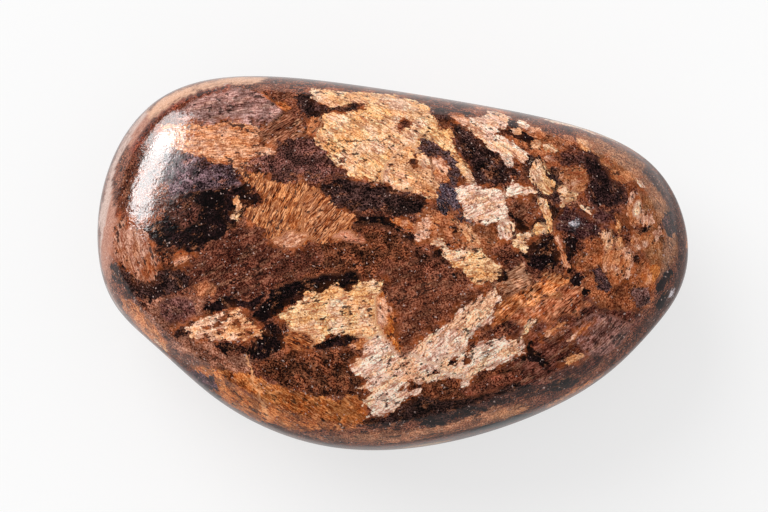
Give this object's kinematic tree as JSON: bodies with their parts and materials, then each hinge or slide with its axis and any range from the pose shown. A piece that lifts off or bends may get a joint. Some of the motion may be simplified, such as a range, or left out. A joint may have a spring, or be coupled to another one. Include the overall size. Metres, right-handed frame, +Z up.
{
  "type": "tumbled bronzite stone",
  "caption": "Smooth polished pebble of dark brown stone with bright bronze blades: a domed egg outline, broad at one end, with a small flat below to rest on.",
  "frame": {"origin": "on the resting plane, under the middle of the stone's outline", "axes": "+X along the stone towards its narrow end, +Y across it, +Z up as it lies"},
  "size_m": [0.032, 0.0206, 0.0134],
  "materials": {
    "polished_bronzite": "gloss"
  },
  "bodies": {
    "root": {"bronzite_stone": "polished_bronzite"}
  },
  "joints": []
}
